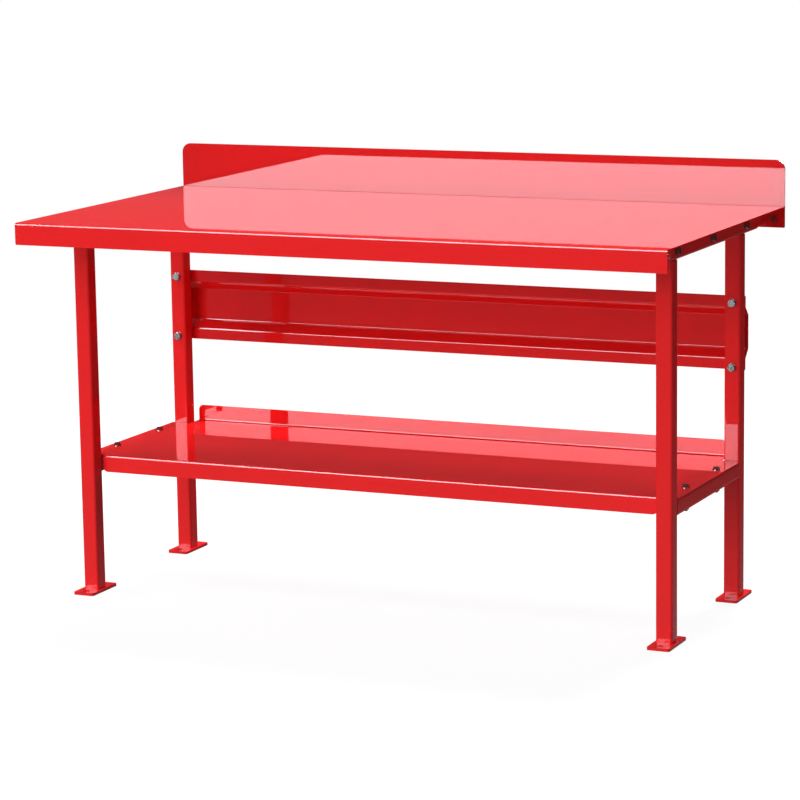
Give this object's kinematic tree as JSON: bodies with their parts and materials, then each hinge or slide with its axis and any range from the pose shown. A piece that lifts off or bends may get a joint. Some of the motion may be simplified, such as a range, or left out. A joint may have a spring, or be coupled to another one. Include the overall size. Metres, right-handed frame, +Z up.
{
  "type": "assembly table",
  "caption": "Red enamelled steel work bench with a folded-edge top, low rear riser, lower shelf with upstand, back stringer and square legs on bolt-down foot plates.",
  "frame": {"origin": "on the floor, at the middle of the bounding box", "axes": "+X along the bench to its right end, +Y towards the riser at the back, +Z up"},
  "size_m": [1.524, 0.799, 0.9738],
  "materials": {
    "red_top": "high-gloss red enamel",
    "red_frame": "high-gloss red enamel",
    "weld_painted": "red enamel over weld bead",
    "zinc_bolt": "bright zinc plate",
    "zinc_washer": "bright zinc plate",
    "zinc_nut": "bright zinc plate"
  },
  "bodies": {
    "root": {"bench_top": "red_top", "rear_riser": "red_top", "lower_shelf": "red_top", "back_stringer": "red_top", "top_stiffener_front": "red_frame", "top_stiffener_rear": "red_frame", "top_rail_left": "red_frame", "top_angle_left": "red_frame", "shelf_rail_left": "red_frame", "leg_front_left": "red_frame", "leg_rear_left": "red_frame", "foot_plate_front_left": "red_frame", "foot_plate_rear_left": "red_frame", "top_rail_right": "red_frame", "top_angle_right": "red_frame", "shelf_rail_right": "red_frame", "leg_front_right": "red_frame", "leg_rear_right": "red_frame", "foot_plate_front_right": "red_frame", "foot_plate_rear_right": "red_frame", "rail_welds": "weld_painted", "foot_welds": "weld_painted", "top_rail_bolts": "zinc_bolt", "top_rail_washers": "zinc_washer", "top_rail_nuts": "zinc_nut", "top_rail_nut_washers": "zinc_washer", "riser_bolts": "zinc_bolt", "riser_washers": "zinc_washer", "riser_nuts": "zinc_nut", "shelf_bolts": "zinc_bolt", "shelf_washers": "zinc_washer", "shelf_nuts": "zinc_nut", "shelf_nut_washers": "zinc_washer", "stringer_bolts": "zinc_bolt", "stringer_washers": "zinc_washer", "stringer_nuts": "zinc_nut", "stringer_nut_washers": "zinc_washer"}
  },
  "joints": []
}
